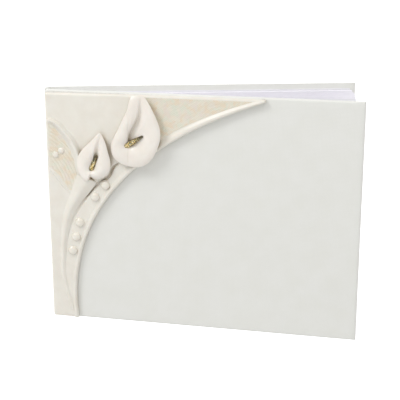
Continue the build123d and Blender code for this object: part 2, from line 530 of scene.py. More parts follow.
@dataclass(frozen=True)
class CastResin(Finish):
    """Polyresin cast in a rubber mould and sprayed ivory: satin, a little waxy.

    Painted shade darkens its hollows towards a warm brown, the more they are shut in, and the
    crests keep the plain colour.
    """

    colours: tuple[str, str] = ("E8E4DA", "E4DFD4")
    # The colour of the painted shade that the hollows are darkened towards.
    painted_shade: str = "A8967A"
    roughness: float = 0.4
    gloss: float = 0.25
    # How far the painted shade's occlusion looks, the occlusion range that it spans, and the levels
    # above the table over which it fades in.
    shade_reach: float = 0.005
    shade_range: Point = (0.2, 0.68)
    shade_fade_levels: Point = (0.003, 0.009)

    def shader(self, tree: NodeTree, where: NodeSocket) -> Node:
        """Return lacquered resin with a slight unevenness 6 mm across, and painted shade in its
        hollows.
        """
        wobble = noise_of(tree, where, 6.0, Detail=3.0)
        # Painted shade: ambient occlusion darkens the hollows towards the shade colour; it is held
        # off below 3 mm above the table and fades in up to 9 mm.
        occlusion = add_node(
            tree, "ShaderNodeAmbientOcclusion", {"samples": 8}, {"Distance": self.shade_reach}
        ).outputs["AO"]
        depth = ranged(tree, occlusion, *self.shade_range, start=1.0, end=0.0)
        level = add_node(tree, "ShaderNodeSeparateXYZ", sockets={0: where}).outputs["Z"]
        held = combined(tree, "MULTIPLY", depth, ranged(tree, level, *self.shade_fade_levels))
        base = self.mottle(tree, where, 9.0, self.colours)
        return add_node(
            tree,
            "ShaderNodeBsdfPrincipled",
            sockets={
                "Base Color": mixed(tree, held, base, linear(self.painted_shade)),
                "Roughness": self.roughness,
                "IOR": 1.5,
                "Subsurface Weight": 0.08,
                "Subsurface Radius": (1.0, 0.6, 0.4),
                "Subsurface Scale": 0.001,
                "Coat Weight": self.gloss,
                "Coat Roughness": 0.25,
                "Normal": bumped(tree, wobble, 0.25, 0.0003),
            },
        )


@dataclass(frozen=True)
class PearlLacquer(Finish):
    """Mother-of-pearl lacquer over carved resin: pastel patches that drift from cream
    to rose, green and apricot, under a clear gloss."""

    cream: str = "E1DAC9"
    rose: str = "DFD4C7"
    green: str = "D9D9C7"
    apricot: str = "E1D1B8"
    veins: float = 0.14

    def shader(self, tree: NodeTree, where: NodeSocket) -> Node:
        """Return the lacquer, with streaks 1.1 mm apart that follow the carving."""
        colour: object = linear(self.cream)
        patches = ((self.rose, 7.0, 0.0), (self.green, 6.0, 0.31), (self.apricot, 5.0, 0.67))
        for tint, size_mm, shift in patches:
            moved = add_node(
                tree,
                "ShaderNodeMapping",
                sockets={"Vector": where, "Location": (shift, shift, shift)},
            )
            patch = noise_of(tree, moved.outputs[0], size_mm, Detail=2.0, Distortion=0.6)
            colour = mixed(tree, ranged(tree, patch, 0.47, 0.62, end=0.85), colour, linear(tint))
        slant = add_node(
            tree,
            "ShaderNodeMapping",
            sockets={"Vector": where, "Rotation": (0.0, 0.95, 0.0)},
        )
        streaks = add_node(
            tree,
            "ShaderNodeTexWave",
            {"bands_direction": "X"},
            {
                "Vector": slant.outputs[0],
                "Scale": wave_scale(1.1),
                "Distortion": 3.0,
                "Detail": 2.0,
            },
        )
        veined = mixed(tree, self.veins, colour, streaks.outputs["Color"], "SOFT_LIGHT")
        return add_node(
            tree,
            "ShaderNodeBsdfPrincipled",
            sockets={
                "Base Color": veined,
                "Roughness": 0.3,
                "IOR": 1.55,
                "Coat Weight": 0.5,
                "Coat Roughness": 0.15,
                "Sheen Weight": 0.1,
            },
        )


@dataclass(frozen=True)
class Glitter(Finish):
    """Gold glitter in varnish: flakes about 0.5 mm wide, gold and olive, each tilted its own way,
    with pale flakes as painted glints and near-black flakes as painted dark reflections. The
    flakes are thick at the rod's root and grow sparse over the dark varnish towards its tip,
    and the rod is also darker down one side."""

    gold: str = "C9A85C"
    olive: str = "6A6738"
    # Near black is both the varnish and the painted dark reflections on flakes; pale is the painted
    # glints' colour.
    dark: str = "201D12"
    pale: str = "EFE3B8"
    flake_mm: float = 0.55

    def shader(self, tree: NodeTree, where: NodeSocket) -> Node:
        """Return flakes as cells that each have their own colour and tilt."""
        flakes = add_node(
            tree,
            "ShaderNodeTexVoronoi",
            sockets={"Vector": where, "Scale": per_metre(self.flake_mm)},
        )
        parts = add_node(
            tree, "ShaderNodeSeparateColor", sockets={0: flakes.outputs["Color"]}
        )
        colour: object = linear(self.gold)
        # Pale flakes are painted glints and near-black flakes painted dark reflections, picked cell
        # by cell at random.
        chosen = ((0, self.olive, 0.55), (1, self.dark, 0.68), (2, self.pale, 0.72))
        for channel, tint, share in chosen:
            picked = combined(tree, "GREATER_THAN", parts.outputs[channel], share)
            colour = mixed(tree, picked, colour, linear(tint))
        rod = add_node(
            tree,
            "ShaderNodeSeparateXYZ",
            sockets={0: add_node(tree, "ShaderNodeTexCoord").outputs["UV"]},
        )
        bare = ranged(tree, rod.outputs["Y"], 0.42, 0.9, end=0.85)
        across = combined(tree, "PINGPONG", rod.outputs["X"], 0.5)
        # Darker towards the tip, where the flakes grow sparse over the dark varnish, and down one
        # side of the rod.
        dark_share = combined(tree, "MAXIMUM", bare, ranged(tree, across, 0.3, 0.45, end=0.55))
        return add_node(
            tree,
            "ShaderNodeBsdfPrincipled",
            sockets={
                "Base Color": mixed(tree, dark_share, colour, linear(self.dark)),
                "Metallic": 0.75,
                "Roughness": 0.3,
                "Coat Weight": 0.4,
                "Normal": bumped(tree, parts.outputs[1], 0.8, 0.0003),
            },
        )


@dataclass(frozen=True)
class Fibre(Finish):
    """Coarse fibre goods, such as greyboard, mull, cotton band or foam tape: matt, with
    crossing threads or specks at a spacing drawn no finer than 0.8 mm."""

    colours: tuple[str, str] = ("C9C6BF", "A9A69F")
    spacing_mm: float = 0.8
    depth: float = 0.4

    def shader(self, tree: NodeTree, where: NodeSocket) -> Node:
        """Return fibres as bands that cross, over a mottled colour."""
        bands = [
            add_node(
                tree,
                "ShaderNodeTexWave",
                {"bands_direction": direction},
                {"Vector": where, "Scale": wave_scale(self.spacing_mm), "Distortion": 1.5},
            ).outputs["Fac"]
            for direction in ("Y", "Z")
        ]
        crossed = combined(tree, "MAXIMUM", bands[0], bands[1])
        return add_node(
            tree,
            "ShaderNodeBsdfPrincipled",
            sockets={
                "Base Color": self.mottle(tree, where, 1.2, self.colours),
                "Roughness": 0.9,
                "Normal": bumped(tree, crossed, self.depth, 0.0002),
            },
        )


FRONT_CLOTH = BookCloth("woven_book_cloth_front", Slot.CLOTH, turn=OPENING)
BACK_CLOTH = BookCloth("woven_book_cloth", Slot.CLOTH)
ENDPAPER = Paper("uncoated_endpaper", Slot.ENDPAPER, ("F4F3F6", "F0EFF3"))
LEAF_PAPER = Paper("uncoated_leaf_paper", Slot.LEAF)
# The third colour of each resin, and the ivory's default one, is the painted shade of its hollows.
IVORY_RESIN = CastResin("ivory_lacquered_resin", Slot.RESIN)
FLOWER_RESIN = CastResin(
    "satin_white_lacquered_resin", Slot.FLOWER, ("EFE9E0", "EBE4DA"), "C2B399", 0.3, 0.4
)
BEAD_RESIN = CastResin(
    "gloss_lacquered_resin_bead", Slot.BEAD, ("EAE5DA", "E6E0D3"), "B5A58A", 0.2, 0.8
)
PEARL = PearlLacquer("mother_of_pearl_lacquer", Slot.PEARL)
GLITTER = Glitter("gold_glitter_varnish", Slot.GLITTER)
GREYBOARD = Fibre("pressed_greyboard", Slot.GREYBOARD)
MULL = Fibre("starched_cotton_mull", Slot.MULL, ("E8E4D8", "D5D0C0"), 1.2, 0.8)
BAND_COTTON = Fibre("woven_cotton_head_band", Slot.BAND, ("F2EFE6", "D9D2C0"), 0.9, 0.9)
FOAM_TAPE = Fibre("white_foam_tape", Slot.TAPE, ("E9E8E4", "DEDCD6"), 0.8, 0.3)


def dress(
    piece: Object, finish: Finish, body: Body | str | None, *nodes: str
) -> Object:
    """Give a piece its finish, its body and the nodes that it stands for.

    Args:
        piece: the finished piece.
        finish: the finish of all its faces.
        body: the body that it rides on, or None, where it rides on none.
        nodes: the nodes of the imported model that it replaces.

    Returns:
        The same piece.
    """
    piece.data.materials.clear()
    piece.data.materials.append(finish.material())
    if body is not None:
        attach(piece, body.value if isinstance(body, Body) else body)
    if nodes:
        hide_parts(*nodes)
    return piece


# ------------------------------------------------------------------ covers
@dataclass
class Cover:
    """A board wrapped in cloth, with its turn-ins and its pastedown."""

    name: str
    body: Body
    sheet: Sheet
    cloth: BookCloth
    depth: float
    edge_reach: float
    edge_drop: float
    softness: float
    end_share: float = 1.0
    width: float = 230.0
    height: float = 175.0
    joint_gap: float = 0.7
    turn_in: float = 15.0
    margin: float = 4.0
    paper: float = 0.2
    inner_round: float = 0.4
    cell: float = 4.5
    rounding_steps: int = 7

    def profile(self) -> list[Point]:
        """Return the wrap's section as (inset from the edge, depth) steps."""
        steps = []
        for step in range(1, self.rounding_steps + 1):
            angle = math.pi / 2 * step / self.rounding_steps
            inset = self.edge_reach * (1 - math.sin(angle))
            steps.append((inset, self.edge_drop * (1 - math.cos(angle))))
        for step in range(4):
            angle = math.pi / 2 * step / 3
            inset = self.inner_round * (1 - math.cos(angle))
            steps.append((inset, self.depth - self.inner_round * (1 - math.sin(angle))))
        steps.append((self.turn_in, self.depth))
        return steps

    def ring(self, inset: float) -> tuple[float, float, float, float]:
        """Return the low and high sides of the cover's outline at an inset."""
        near = self.joint_gap + inset * 0.02
        ends = inset if inset > self.edge_reach else inset * self.end_share
        return near, self.width - inset, ends, self.height - ends

    def wave(self, u: float, v: float) -> float:
        """Return how far the padding stands up or sinks at a point of the face."""
        slow = noise.noise(Vector((u / 46.0, v / 38.0, 3.1)))
        quick = noise.noise(Vector((u / 13.0, v / 11.0, 7.7)))
        inside = smooth(min(u - self.joint_gap, self.width - u, v, self.height - v) / 12.0)
        return self.softness * (0.8 * slow + 0.2 * quick) * (0.25 + 0.75 * inside)

    def wrap(self) -> Object:
        """Model the cloth: the face first, then its edge drawn round the board."""
        near, far, low, high = self.ring(self.edge_reach)
        last = (near, far, low, high)

        def face(s: float, t: float) -> Place:
            """Return a point of the padded face."""
            u, v = near + (far - near) * s, low + (high - low) * t
            return u, v, self.wave(u, v)

        columns = round((far - near) / self.cell)
        rows = round((high - low) / self.cell)
        shell = surface(f"{self.name}_shell", columns, rows, face)
        level = 0.0
        with editing(shell):
            select_rim()
            for inset, depth in self.profile():
                ring = self.ring(inset)
                bpy.ops.mesh.extrude_edges_move(
                    TRANSFORM_OT_translate={"value": (0, 0, level - depth)}
                )
                bpy.ops.transform.resize(
                    value=(
                        (ring[1] - ring[0]) / (last[1] - last[0]),
                        (ring[3] - ring[2]) / (last[3] - last[2]),
                        1,
                    ),
                    center_override=((last[0] + last[1]) / 2, (last[2] + last[3]) / 2, 0),
                )
                bpy.ops.transform.translate(
                    value=(
                        (ring[0] + ring[1] - last[0] - last[1]) / 2,
                        (ring[2] + ring[3] - last[2] - last[3]) / 2,
                        0,
                    )
                )
                last, level = ring, depth
            bpy.ops.mesh.edge_face_add()
            bpy.ops.mesh.select_all(action="SELECT")
            bpy.ops.mesh.normals_make_consistent(inside=False)
        return shell

    def fold(self, index: int) -> Object:
        """Model the edge of a turn-in that lies over the next one at a mitred corner."""
        reach = self.turn_in - 1.0
        overlap = 0.8

        def lap(s: float, t: float) -> Place:
            """Return a point of the turn-in, whose mitred ends rise a little."""
            inset = 0.7 + (reach - 0.7) * s
            low, high = inset - overlap, self.height - inset + overlap
            v = low + (high - low) * t
            lift = 0.14 * smooth(min(v - low, high - v) / 0.25 + 0.35)
            return self.width - inset, v, -self.depth - lift

        flap = surface(f"{self.name}_turn_in_{index}", 8, 90, lap)
        close_under(flap, -self.depth + 0.05)
        return flap

    def pastedown(self) -> Object:
        """Model the endpaper that is glued inside the cover over the turn-ins."""
        far = self.width - self.margin
        near = self.joint_gap + 0.1

        def paper(s: float, t: float) -> Place:
            """Return a point of the paper, sunk inside the turn-ins."""
            u = near + (far - near) * s
            v = self.margin + (self.height - 2 * self.margin) * t
            edge = min(self.width - u, v, self.height - v)
            sunk = 0.12 * smooth((edge - self.turn_in) / 1.6 + 0.5)
            ripple = 0.02 * noise.noise(Vector((u / 17.0, v / 15.0, 1.3)))
            return u, v, -self.depth - self.paper + sunk + ripple

        sheet = surface(f"{self.name}_endpaper", 150, 112, paper)
        close_under(sheet, -self.depth + 0.1)
        return settle(sheet, self.sheet)

    def build(self, *replaced: str) -> None:
        """Model the cover and dress it.

        Args:
            replaced: the nodes that the cloth stands for, and last the pastedown's.
        """
        shell = joined(f"{self.name}_shell", [self.wrap(), self.fold(1)])
        settle(shell, self.sheet, 35.0)
        dress(shell, self.cloth, self.body, *replaced[:-1])
        dress(self.pastedown(), ENDPAPER, self.body, replaced[-1])
        log.info("%s: cloth shell and endpaper", self.name)


# ------------------------------------------------------------------ spine and joints
@dataclass
class Spine:
    """The spine's cloth, and the cloth and paper that bend at the two hinges."""

    height: float = 175.0
    cloth: float = 0.4
    joint_round: float = 0.9
    strip_start: float = 2.2
    joint_gap: float = 0.7
    board_back: float = 2.8
    bare_back: float = 0.62
    board_step: float = 0.06
    stations: tuple[float, ...] = (0.0, 0.1, 0.125, 0.875, 0.9, 1.0)
    end_round: float = 0.7
    turn_in: float = 15.0
    steps: int = 12
    outer_x: float = field(init=False)
    front_y: float = field(init=False)
    back_y: float = field(init=False)

    def __post_init__(self) -> None:
        """Take the hinge lines from the frame."""
        front, back = hinge("front_cover_hinge") / MM, hinge("back_cover_hinge") / MM
        self.outer_x, self.front_y, self.back_y = front.x, front.y, back.y

    def wrapped(self) -> Object:
        """Model the spine's cloth: outer face, rolled head and tail, and turn-ins."""
        low, high = (corner.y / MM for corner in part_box("spine_board"))
        start, stop = self.front_y + self.strip_start, self.back_y - self.strip_start
        r = self.end_round

        def section(depth: float) -> list[Point]:
            """Return the line of the cloth round the board, as (x, z) points."""
            inner = self.outer_x + depth
            quarter = [math.pi / 2 * k / 4 for k in range(5)]
            round_r = min(r, depth / 2)
            head = self.height
            line = [(inner, self.turn_in)]
            line += [
                (inner - round_r * (1 - math.cos(a)), round_r * (1 - math.sin(a))) for a in quarter
            ]
            line += [
                (self.outer_x + round_r * (1 - math.sin(a)), round_r * (1 - math.cos(a)))
                for a in quarter
            ]
            line += [
                (self.outer_x + round_r * (1 - math.cos(a)), head - round_r * (1 - math.sin(a)))
                for a in quarter
            ]
            line += [
                (inner - round_r * (1 - math.sin(a)), head - round_r * (1 - math.cos(a)))
                for a in quarter
            ]
            line.append((inner, head - self.turn_in))
            return line

        count = len(section(1.0)) - 1

        step = self.board_step
        stations = (start, low - step, low, high, high + step, stop)

        def cloth(s: float, t: float) -> Place:
            """Return a point of the cloth, which lies deep only behind the board."""
            y = float(np.interp(t, self.stations, stations))
            over_board = smooth((min(y - low, high - y) + step) / step)
            line = section(self.bare_back + (self.board_back - self.bare_back) * over_board)
            x, z = line[round(s * count)]
            return x, y, z

        piece = surface("spine_cloth_wrap", count, 40, cloth)
        modify(piece, "SOLIDIFY", thickness=0.29, offset=-1.0)
        return settle(piece, FRAME_SHEET, 50.0)

    def strip(self, name: str, line: Sequence[Point], thick: float, span: Point) -> Object:
        """Model a strip that follows a line round the book's upright edge.

        Args:
            name: the piece's name.
            line: the (x, y) points of the strip's outer face.
            thick: its thickness, laid to the right of the line.
            span: its lowest and highest levels.

        Returns:
            The strip, laid in the frame.
        """

        def ribbon(s: float, t: float) -> Place:
            """Return a point of the line, drawn up over the span."""
            x, y = line[round(s * (len(line) - 1))]
            return x, y, span[0] + (span[1] - span[0]) * t

        piece = surface(name, len(line) - 1, 24, ribbon)
        modify(piece, "SOLIDIFY", thickness=thick, offset=1.0)
        weld(piece)
        return settle(piece, FRAME_SHEET, 60.0)

    def corner(self, origin: Point, along: Point, side: float) -> list[Point]:
        """Return the line of cloth from the spine round a hinge line to its cover.

        Args:
            origin: the hinge line's place.
            along: the cover's direction there.
            side: 1 at the back of the book and -1 at the front.

        Returns:
            The (x, y) points, from the spine to the cover.
        """
        o, a = np.array(origin), np.array(along)
        down = np.array((0.0, -side))
        reach = self.joint_gap + 0.05
        line = [o + down * self.strip_start, o + down * self.joint_round * 1.3]
        for step in range(self.steps + 1):
            t = step / self.steps
            line.append(
                (1 - t) ** 2 * (o + down * self.joint_round)
                + 2 * t * (1 - t) * (o + (down + a) * 0.06)
                + t**2 * (o + a * reach * 0.9)
            )
        line.append(o + a * reach)
        return [(float(x), float(y)) for x, y in line]

    def joint_cloth(self, sheet: Sheet, side: float) -> None:
        """Model the cloth that bends at one cover's hinge."""
        origin = (sheet.origin.x / MM, sheet.origin.y / MM)
        line = self.corner(origin, (sheet.along.x, sheet.along.y), side)
        if side < 0:
            line = line[::-1]
        name = "front_joint_cloth" if side < 0 else "back_joint_cloth"
        piece = self.strip(name, line, self.cloth, (0.0, self.height))
        dress(piece, FRONT_CLOTH if side < 0 else BACK_CLOTH, None)
        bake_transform(piece)

    def joint_paper(self, inner: Vector, shoulder: Point, side: float) -> None:
        """Model the endpaper that bends between the text block and a cover.

        Args:
            inner: where the pastedown starts, in metres.
            shoulder: the block's shoulder, as (x, y) in millimetres.
            side: 1 at the back of the book and -1 at the front.
        """
        a = np.array((shoulder[0] + 1.6, shoulder[1]))
        b = np.array(shoulder)
        c = np.array((inner.x, inner.y)) / MM
        line = [tuple(a)]
        for step in range(self.steps + 1):
            t = step / self.steps
            bow = 0.12 * math.sin(math.pi * t) * side
            line.append(tuple(b + (c - b) * t + np.array((0.0, -bow))))
        name = "front_joint_paper" if side < 0 else "back_joint_paper"
        if side > 0:
            line = line[::-1]
        block_low, block_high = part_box("page_block")
        piece = self.strip(name, line, 0.16, (block_low.z / MM, block_high.z / MM))
        dress(piece, ENDPAPER, None)
        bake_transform(piece)

    def build(self, front: Cover, back: Cover) -> None:
        """Model the spine and its joints and dress them."""
        dress(self.wrapped(), BACK_CLOTH, Body.BLOCK, "spine_cloth")
        self.joint_cloth(front.sheet, -1.0)
        self.joint_cloth(back.sheet, 1.0)
        low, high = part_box("page_block")
        stack_front = (low.x / MM, low.y / MM - 0.04)
        stack_back = (low.x / MM, high.y / MM + 0.04)
        near = self.joint_gap + 0.3
        front_start = front.sheet.point(near, 0, -front.depth - front.paper * 0.6)
        back_start = back.sheet.point(near, 0, -back.depth - back.paper * 0.6)
        self.joint_paper(front_start, stack_front, -1.0)
        self.joint_paper(back_start, stack_back, 1.0)
        log.info("spine: cloth wrap, two cloth joints and two paper joints")


# ------------------------------------------------------------------ text block
@dataclass
class TextBlock:
    """The glued stack of leaves and the five leaves that turn."""

    pitch: float = 0.15
    sheet_thick: float = 0.125
    leaf_thick: float = 0.18
    leaf_spacing: float = 0.42
    leaf_gap: float = 0.3
    creep: float = 0.3
    curl: float = 26.0
    bound_end: float = -108.9
    core_front: float = -6.05
    turning: tuple[tuple[str, str, str], ...] = (
        ("front_flyleaf", "front_flyleaf_body", "front_flyleaf_turn"),
        ("leaf_1", "leaf_1_body", "leaf_1_turn"),
        ("leaf_2", "leaf_2_body", "leaf_2_turn"),
        ("leaf_3", "leaf_3_body", "leaf_3_turn"),
        ("leaf_4", "leaf_4_body", "leaf_4_turn"),
    )

    def stack(self) -> Object:
        """Model the glued leaves, each cut and jogged a little differently."""
        low, high = (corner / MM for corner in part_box("page_block"))
        count = int((high.y - low.y) / self.pitch)
        sheets = []
        for index in range(count):
            y = low.y + self.pitch * index
            whole = y > self.core_front - 0.01
            far = high.x - 0.15 - 0.35 * noise.random() if whole else self.bound_end
            rise = 0.15 * noise.random()

            def leaf(s: float, t: float, far: float = far, rise: float = rise) -> Place:
                """Return a point of a leaf with its own cut."""
                u = low.x + (far - low.x) * s
                return u, low.z + rise + (high.z - low.z - 0.15) * t, 0.0

            sheet = surface(f"bound_leaf_{index}", 6 if whole else 1, 1, leaf)
            close_under(sheet, -self.sheet_thick)
            sheets.append(settle(sheet, Sheet(Vector((0, y * MM, 0)), Vector((1, 0, 0)), UP)))
        return joined("bound_leaves", sheets)

    def leaf(self, number: int, name: str, body: str, joint: str) -> None:
        """Model a leaf that curls out of the glued stack.

        Args:
            number: its place behind the first leaf.
            name: its node's name.
            body: its body's name; not used.
            joint: the joint that it turns on.
        """
        low, high = (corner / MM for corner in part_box("page_block"))
        axis = hinge(joint) / MM
        turn = math.radians(-JOINTS[joint]["range_deg"][0])
        length = high.x - axis.x - self.creep * math.degrees(turn)
        behind = self.leaf_spacing * number

        def paper(s: float, t: float) -> Place:
            """Return a point of the leaf, which bends out of the stack at its root."""
            reach = -self.leaf_gap + (length + self.leaf_gap) * s**1.6
            angle = turn * smooth(reach / self.curl)
            z = low.z + (high.z - low.z) * t
            x = axis.x + reach * math.cos(angle) + behind * math.sin(angle)
            y = axis.y - reach * math.sin(angle) + behind * math.cos(angle)
            return x, y, z

        piece = surface(f"{name}_sheet", 60, 10, paper)
        modify(piece, "SOLIDIFY", thickness=self.leaf_thick, offset=-1.0)
        settle(piece, FRAME_SHEET, 60.0)
        finish = ENDPAPER if number == 0 else LEAF_PAPER
        dress(piece, finish, None, name)
        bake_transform(piece)

    def build(self) -> None:
        """Model the stack and the turning leaves and dress them."""
        dress(self.stack(), LEAF_PAPER, Body.BLOCK, "page_block")
        for number, (name, body, joint) in enumerate(self.turning):
            self.leaf(number, name, body, joint)
        log.info("text block: bound leaves and %d turning leaves", len(self.turning))


# ------------------------------------------------------------------ plaque
@dataclass
class Ridge:
    """A raised band of the casting whose feet run smoothly into the plaque."""

    node: str
    path: tuple[Point, ...]
    widths: tuple[Point, ...]
    height: float
    lean: float = 0.0
    sharpness: float = 1.0
    fall: tuple[Point, ...] = ((0.0, 1.0), (1.0, 1.0))
    end_share: float = 0.06
    foot: float = 3.0
    along: int = 90
    across: int = 22

    def model(self) -> Object:
        """Return the band, swept along its path on the front cover."""
        line = drawn_through(self.path, self.along + 1)
        steps = np.gradient(line, axis=0)
        steps /= np.linalg.norm(steps, axis=1)[:, None]

        def band(s: float, t: float) -> Place:
            """Return a point of the band, swept along and across its path."""
            row = round(s * self.along)
            side = 2.0 * t - 1.0
            near_end = min(s, 1.0 - s) / self.end_share
            ending = math.sqrt(max(0.0, 1.0 - (1.0 - min(1.0, near_end)) ** 2))
            half = between(self.widths, s) / 2 * (0.35 + 0.65 * ending)
            offset = side - self.lean
            share = offset / (1.0 - self.lean) if offset > 0 else -offset / (1.0 + self.lean)
            rise = (0.5 + 0.5 * math.cos(math.pi * min(1.0, share))) ** self.sharpness
            u = line[row][0] - steps[row][1] * half * side
            v = line[row][1] + steps[row][0] * half * side
            return u, v, self.foot - 0.03 + self.height * between(self.fall, s) * rise * ending

        piece = surface(f"{self.node}_relief", self.along, self.across, band)
        close_under(piece, self.foot - 0.6)
        return settle(piece, FRONT_SHEET, 60.0)


@dataclass
class Plaque:
    """The ivory casting: its slab, its rolled arc edge, its ribs and carved panels."""

    arc: Arc = field(default_factory=Arc)
    left: float = 1.0
    foot_v: float = 0.6
    head_v: float = 174.4
    under: float = 0.4
    top: float = 3.0
    edge_round: float = 1.7
    rim_rises: tuple[Point, ...] = (
        (0.0, 0.8), (0.4, 1.0), (0.62, 1.6), (0.9, 1.5), (1.0, 1.2),
    )
    rim_widths: tuple[Point, ...] = (
        (0.0, 3.0), (0.3, 3.6), (0.5, 4.6), (0.64, 6.6), (0.78, 6.2), (0.9, 4.6), (1.0, 3.0),
    )
    ridges: tuple[Ridge, ...] = (
        Ridge(
            "upper_rib",
            (
                (2.4, 154.0), (9.4, 150.2), (14.9, 144.4), (19.8, 138.1), (23.3, 130.8),
                (25.6, 122.0), (26.4, 113.0),
            ),
            ((0.0, 5.0), (0.17, 6.2), (0.35, 7.6), (0.6, 8.6), (1.0, 7.4)),
            3.1,
            lean=0.42,
        ),
        Ridge(
            "lower_rib",
            ((2.2, 117.7), (7.1, 113.3), (11.7, 107.4), (17.2, 99.6)),
            ((0.0, 3.6), (0.5, 4.2), (1.0, 3.6)),
            0.8,
            lean=-0.3,
            end_share=0.2,
        ),
        Ridge(
            "small_calla_stem",
            ((32.0, 113.0), (30.0, 109.4), (26.1, 102.8), (22.3, 96.2), (17.2, 86.2), (14.1, 76.6),
             (11.8, 63.3), (10.6, 49.0), (10.2, 38.0), (11.8, 27.3), (14.1, 16.6), (17.0, 6.0)),
            ((0.0, 15.6), (0.09, 15.4), (0.18, 13.6), (0.27, 10.4), (0.36, 8.6), (0.45, 7.0),
             (0.54, 5.8), (0.64, 4.6), (0.8, 3.8), (1.0, 3.2)),
            3.0,
            lean=0.06,
            sharpness=0.62,
            fall=((0.0, 1.0), (0.3, 0.85), (0.5, 0.6), (0.64, 0.42), (1.0, 0.25)),
            end_share=0.03,
        ),
    )
    crevice: tuple[tuple[float, float, float, float], ...] = (
        (58.8, 125.2, 1.0, 1.3), (53.4, 122.2, 1.9, 1.5), (50.6, 119.4, 2.1, 1.5),
        (49.2, 115.8, 2.1, 1.5), (46.8, 112.4, 2.0, 1.6), (43.0, 109.6, 1.9, 1.8),
        (38.4, 106.6, 2.0, 2.4), (33.6, 101.6, 1.8, 2.2), (30.2, 97.0, 1.5, 1.9),
        (25.2, 89.8, 1.1, 1.7), (20.7, 81.6, 0.9, 1.6), (17.5, 73.2, 0.6, 1.5),
        (14.8, 62.0, 0.0, 1.5),
    )
    head_slant: float = 1.1
    slant_end: float = 100.0
    head_reach: float = 2.3
    roll_radius: float = 1.7
    upper_sides: Point = (77.0, 152.5)
    upper_head: float = 172.6
    left_sides: Point = (2.8, 23.4)

    def slab(self) -> Object:
        """Model the slab, with rounded edges at the head, the tail and the spine."""
        rounding = [0.0, 0.08, 0.25, 0.5, 0.8, 1.2, 1.7, 2.4]
        inner = list(np.linspace(0, 1, 110))
        shares = np.linspace(0.0, 1.0, 150)
        heights = np.array([self.arc.at(s)[1] for s in shares])
        levels = sorted(
            {self.foot_v + r for r in rounding}
            | {self.head_v - r for r in rounding}
            | {float(h) for h in heights if self.foot_v + 3 < h < self.head_v - 3}
        )
        fine = np.linspace(0, 1, 1200)
        edge = np.array([self.arc.inset(s, 0.35) for s in fine])
        line = drawn_through([point[:2] for point in self.crevice], 120)
        marks = np.linspace(0, 1, len(self.crevice))
        depths, widths = (
            np.interp(np.linspace(0, 1, 120), marks, [point[k] for point in self.crevice])
            for k in (2, 3)
        )

        def rounded(distance: float) -> float:
            """Return how far the face has dropped at a distance from the slab's side."""
            short = max(0.0, self.edge_round - distance)
            return self.edge_round - math.sqrt(max(0.0, self.edge_round**2 - short**2))

        def groove(u: float, v: float) -> float:
            """Return how deep the crevice between flowers and beads is at a point."""
            away = np.hypot(line[:, 0] - u, line[:, 1] - v)
            nearest = int(away.argmin())
            return float(depths[nearest]) * smooth(1.0 - away[nearest] / widths[nearest])

        last_rounded = len(rounding) - 1
        columns = last_rounded + len(inner) - 1
        rows = len(levels) - 1

        def top(s: float, t: float) -> Place:
            """Return a point of the face, whose head runs a little aslant."""
            v = levels[round(t * rows)]
            right = float(np.interp(v, edge[:, 1], edge[:, 0]))
            column = round(s * columns)
            if column <= last_rounded:
                u = self.left + rounding[column]
            else:
                start = self.left + rounding[-1]
                u = start + (right - start) * inner[column - last_rounded]
            head = (self.head_v - v) * self.edge_round / self.head_reach
            nearest = min(u - self.left, v - self.foot_v, head)
            swell = 0.10 * noise.noise(Vector((u / 21.0, v / 24.0, 5.5)))
            level = self.top - rounded(nearest) + swell * smooth(nearest / 8.0) - groove(u, v)
            slant = self.head_slant * max(0.0, 1.0 - u / self.slant_end)
            return u, v - slant * smooth((v - 150.0) / 24.0), level

        piece = surface("plaque_slab", columns, rows, top)
        weld(piece, 0.01)
        close_under(piece, self.under)
        return settle(piece, FRONT_SHEET, 45.0)

    def rim(self) -> Object:
        """Model the rolled edge that follows the arc and covers the slab's side."""
        across = 26
        along = 150

        def roll(s: float, t: float) -> Place:
            """Return a point of the side, the crest or the inner slope."""
            width = between(self.rim_widths, s)
            crest = min(self.roll_radius, width * 0.42)
            ending = math.sqrt(max(0.0, 1 - (1 - min(1.0, min(s, 1 - s) / 0.012)) ** 2))
            high = self.top + between(self.rim_rises, s) * (0.35 + 0.65 * ending)
            if t < 0.2:
                depth = 0.0
                level = self.under + (high - self.roll_radius - self.under) * t / 0.2
            elif t < 0.55:
                angle = math.pi / 2 * (t - 0.2) / 0.35
                depth = crest * (1 - math.cos(angle))
                level = high - self.roll_radius * (1 - math.sin(angle))
            else:
                share = (t - 0.55) / 0.45
                depth = crest + (width - crest) * share
                slope = 0.5 + 0.5 * math.cos(math.pi * share)
                level = self.top - 0.04 + (high - self.top) * slope
            u, v = self.arc.inset(s, depth)
            return float(u), max(self.foot_v, min(float(v), self.head_v)), level

        piece = surface("arc_rim_roll", along, across, roll)
        close_under(piece, self.under)
        return settle(piece, FRONT_SHEET, 50.0)

    def upper_panel(self) -> Object:
        """Model the carved panel between the large flower and the arc's tip."""
        near, far = self.upper_sides
        low_line = self.arc.depth_line(lambda s: between(self.rim_widths, s) - 0.5)

        def carved(s: float, t: float) -> Place:
            """Return a point of the panel, with slanting veins and finer hairs."""
            u = near + (far - near) * s
            low = float(np.interp(u, low_line[:, 0], low_line[:, 1]))
            v = low + (self.upper_head - low) * t
            bend = 1.4 * noise.noise(Vector((u / 9.0, v / 9.0, 2.0)))
            across = (-u * math.sin(0.62) + v * math.cos(0.62) + bend) / 2.1
            vein = 1.0 - abs(math.sin(math.pi * across))
            hair = 1.0 - abs(math.sin(math.pi * (across * 2.7 + 0.4 * bend)))
            sides = min((u - near) / 2.0, (far - u) / 6)
            inside = smooth(min(sides, (v - low) / 0.9, (self.upper_head - v) / 0.9))
            rise = 0.17 * vein**2 + 0.08 * hair**2 - 0.1
            return u, v, self.top + 0.02 + (0.16 + rise) * inside

